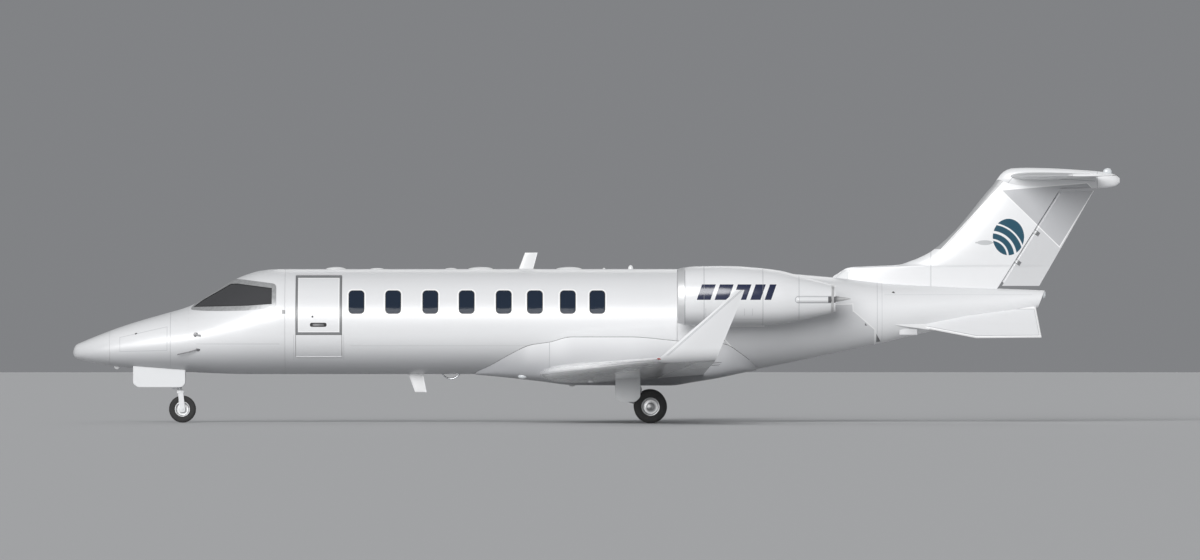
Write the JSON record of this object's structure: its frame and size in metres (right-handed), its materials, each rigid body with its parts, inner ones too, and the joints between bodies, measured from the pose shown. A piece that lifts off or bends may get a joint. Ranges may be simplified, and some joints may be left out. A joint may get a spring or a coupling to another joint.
{
  "type": "business jet",
  "caption": "Twin-engine business jet with a T-tail and winglets, standing on its landing gear, with hinged entry door halves, flaps, ailerons, elevators and rudder.",
  "frame": {"origin": "on the ground, under the middle of the aeroplane's length and span", "axes": "nose towards -X, starboard wing towards +Y, fin towards +Z"},
  "size_m": [17.68, 15.501, 4.304],
  "materials": {
    "airframe_paint": "gloss white paint",
    "composite_paint": "gloss white paint on composite",
    "window_glass": "dark tinted",
    "tyre_rubber": "black rubber",
    "wheel_metal": "satin",
    "gear_paint": "satin light grey paint",
    "engine_metal": "heat stained",
    "fan_metal": "satin",
    "seat_leather": "matt hide",
    "floor_carpet": "carpeted panel",
    "panel_plastic": "matt"
  },
  "bodies": {
    "airframe": {"aft_fuselage": "airframe_paint", "bottom_antenna": "composite_paint", "cabin_floor": "floor_carpet", "cabin_seats_left": "seat_leather", "cabin_seats_right": "seat_leather", "cabin_shell": "airframe_paint", "cabin_windows_left": "window_glass", "cabin_windows_right": "window_glass", "cockpit_shell": "airframe_paint", "engine_core_left": "engine_metal", "engine_core_right": "engine_metal", "fin": "airframe_paint", "instrument_panel": "panel_plastic", "main_leg_left": "gear_paint", "main_leg_right": "gear_paint", "nacelle_left": "airframe_paint", "nacelle_right": "airframe_paint", "nose_gear_door_left": "airframe_paint", "nose_gear_door_right": "airframe_paint", "nose_leg": "gear_paint", "nose_section": "airframe_paint", "pilot_seat_left": "seat_leather", "pilot_seat_right": "seat_leather", "pylon_left": "airframe_paint", "pylon_right": "airframe_paint", "radome": "composite_paint", "stabilizer": "airframe_paint", "top_antenna": "composite_paint", "ventral_fin_left": "airframe_paint", "ventral_fin_right": "airframe_paint", "windshield_left": "window_glass", "windshield_right": "window_glass", "wing_fairing": "composite_paint", "wing_left": "airframe_paint", "wing_right": "airframe_paint", "winglet_left": "airframe_paint", "winglet_right": "airframe_paint"},
    "upper_door": {"upper_door": "airframe_paint"},
    "lower_door": {"lower_door": "airframe_paint"},
    "nose_steering": {"nose_fork": "gear_paint"},
    "nose_wheel": {"nose_rim": "wheel_metal", "nose_tyre": "tyre_rubber"},
    "rudder": {"rudder": "airframe_paint"},
    "main_wheels_left": {"main_rims_left": "wheel_metal", "main_tyre_left_inner": "tyre_rubber", "main_tyre_left_outer": "tyre_rubber"},
    "fan_left": {"fan_left": "fan_metal"},
    "flap_left": {"flap_left": "airframe_paint"},
    "aileron_left": {"aileron_left": "airframe_paint"},
    "spoiler_left": {"spoiler_left": "airframe_paint"},
    "elevator_left": {"elevator_left": "airframe_paint"},
    "main_wheels_right": {"main_rims_right": "wheel_metal", "main_tyre_right_inner": "tyre_rubber", "main_tyre_right_outer": "tyre_rubber"},
    "fan_right": {"fan_right": "fan_metal"},
    "flap_right": {"flap_right": "airframe_paint"},
    "aileron_right": {"aileron_right": "airframe_paint"},
    "spoiler_right": {"spoiler_right": "airframe_paint"},
    "elevator_right": {"elevator_right": "airframe_paint"}
  },
  "joints": [
    {"name": "upper_door_hinge", "type": "hinge", "parent": "airframe", "child": "upper_door", "pos_m": [-4.678, -0.42726, 2.482], "axis": [-1, 0, 0], "range_deg": [0, 95]},
    {"name": "lower_door_hinge", "type": "hinge", "parent": "airframe", "child": "lower_door", "pos_m": [-4.678, -0.65057, 1.114], "axis": [1, 0, 0], "range_deg": [0, 120]},
    {"name": "nose_steering", "type": "hinge", "parent": "airframe", "child": "nose_steering", "pos_m": [-7.04, 0, 0.57], "axis": [0, 0, 1], "range_deg": [-60, 60]},
    {"name": "nose_wheel_spin", "type": "hinge", "parent": "nose_steering", "child": "nose_wheel", "pos_m": [-6.99, 0, 0.2285], "axis": [0, 1, 0], "continuous": true},
    {"name": "main_wheels_left_spin", "type": "hinge", "parent": "airframe", "child": "main_wheels_left", "pos_m": [0.91, -1.42, 0.2795], "axis": [0, 1, 0], "continuous": true},
    {"name": "main_wheels_right_spin", "type": "hinge", "parent": "airframe", "child": "main_wheels_right", "pos_m": [0.91, 1.42, 0.2795], "axis": [0, 1, 0], "continuous": true},
    {"name": "fan_left_spin", "type": "hinge", "parent": "airframe", "child": "fan_left", "pos_m": [1.96, -1.45, 2.138], "axis": [1, 0, 0], "continuous": true},
    {"name": "fan_right_spin", "type": "hinge", "parent": "airframe", "child": "fan_right", "pos_m": [1.96, 1.45, 2.138], "axis": [1, 0, 0], "continuous": true},
    {"name": "flap_left_hinge", "type": "hinge", "parent": "airframe", "child": "flap_left", "pos_m": [1.27485, -2.635, 0.91539], "axis": [-0.0981, 0.9944, -0.0385], "range_deg": [0, 40]},
    {"name": "flap_right_hinge", "type": "hinge", "parent": "airframe", "child": "flap_right", "pos_m": [1.27485, 2.635, 0.91539], "axis": [0.0981, 0.9944, 0.0385], "range_deg": [0, 40]},
    {"name": "aileron_left_hinge", "type": "hinge", "parent": "airframe", "child": "aileron_left", "pos_m": [1.5871, -5.585, 1.02883], "axis": [-0.0939, 0.9948, -0.0386], "range_deg": [-20, 20]},
    {"name": "aileron_right_hinge", "type": "hinge", "parent": "airframe", "child": "aileron_right", "pos_m": [1.5871, 5.585, 1.02883], "axis": [0.0939, 0.9948, 0.0386], "range_deg": [-20, 20]},
    {"name": "spoiler_left_hinge", "type": "hinge", "parent": "airframe", "child": "spoiler_left", "pos_m": [0.97271, -3.125, 1.03215], "axis": [0.145, -0.9892, 0.0217], "range_deg": [0, 55]},
    {"name": "spoiler_right_hinge", "type": "hinge", "parent": "airframe", "child": "spoiler_right", "pos_m": [0.97271, 3.125, 1.03215], "axis": [-0.145, -0.9892, -0.0217], "range_deg": [0, 55]},
    {"name": "elevator_left_hinge", "type": "hinge", "parent": "airframe", "child": "elevator_left", "pos_m": [8.19831, -1.34, 4.165], "axis": [-0.1802, 0.9836, 0], "range_deg": [-20, 15]},
    {"name": "elevator_right_hinge", "type": "hinge", "parent": "airframe", "child": "elevator_right", "pos_m": [8.19831, 1.34, 4.165], "axis": [0.1802, 0.9836, 0], "range_deg": [-20, 15]},
    {"name": "rudder_hinge", "type": "hinge", "parent": "airframe", "child": "rudder", "pos_m": [7.35929, 0, 3.1125], "axis": [0.534, 0, 0.8455], "range_deg": [-25, 25]}
  ],
  "couplings": [
    {"joint": "flap_right_hinge", "follows": "flap_left_hinge", "ratio": 1},
    {"joint": "aileron_right_hinge", "follows": "aileron_left_hinge", "ratio": -1},
    {"joint": "spoiler_right_hinge", "follows": "spoiler_left_hinge", "ratio": 1},
    {"joint": "elevator_right_hinge", "follows": "elevator_left_hinge", "ratio": 1}
  ]
}
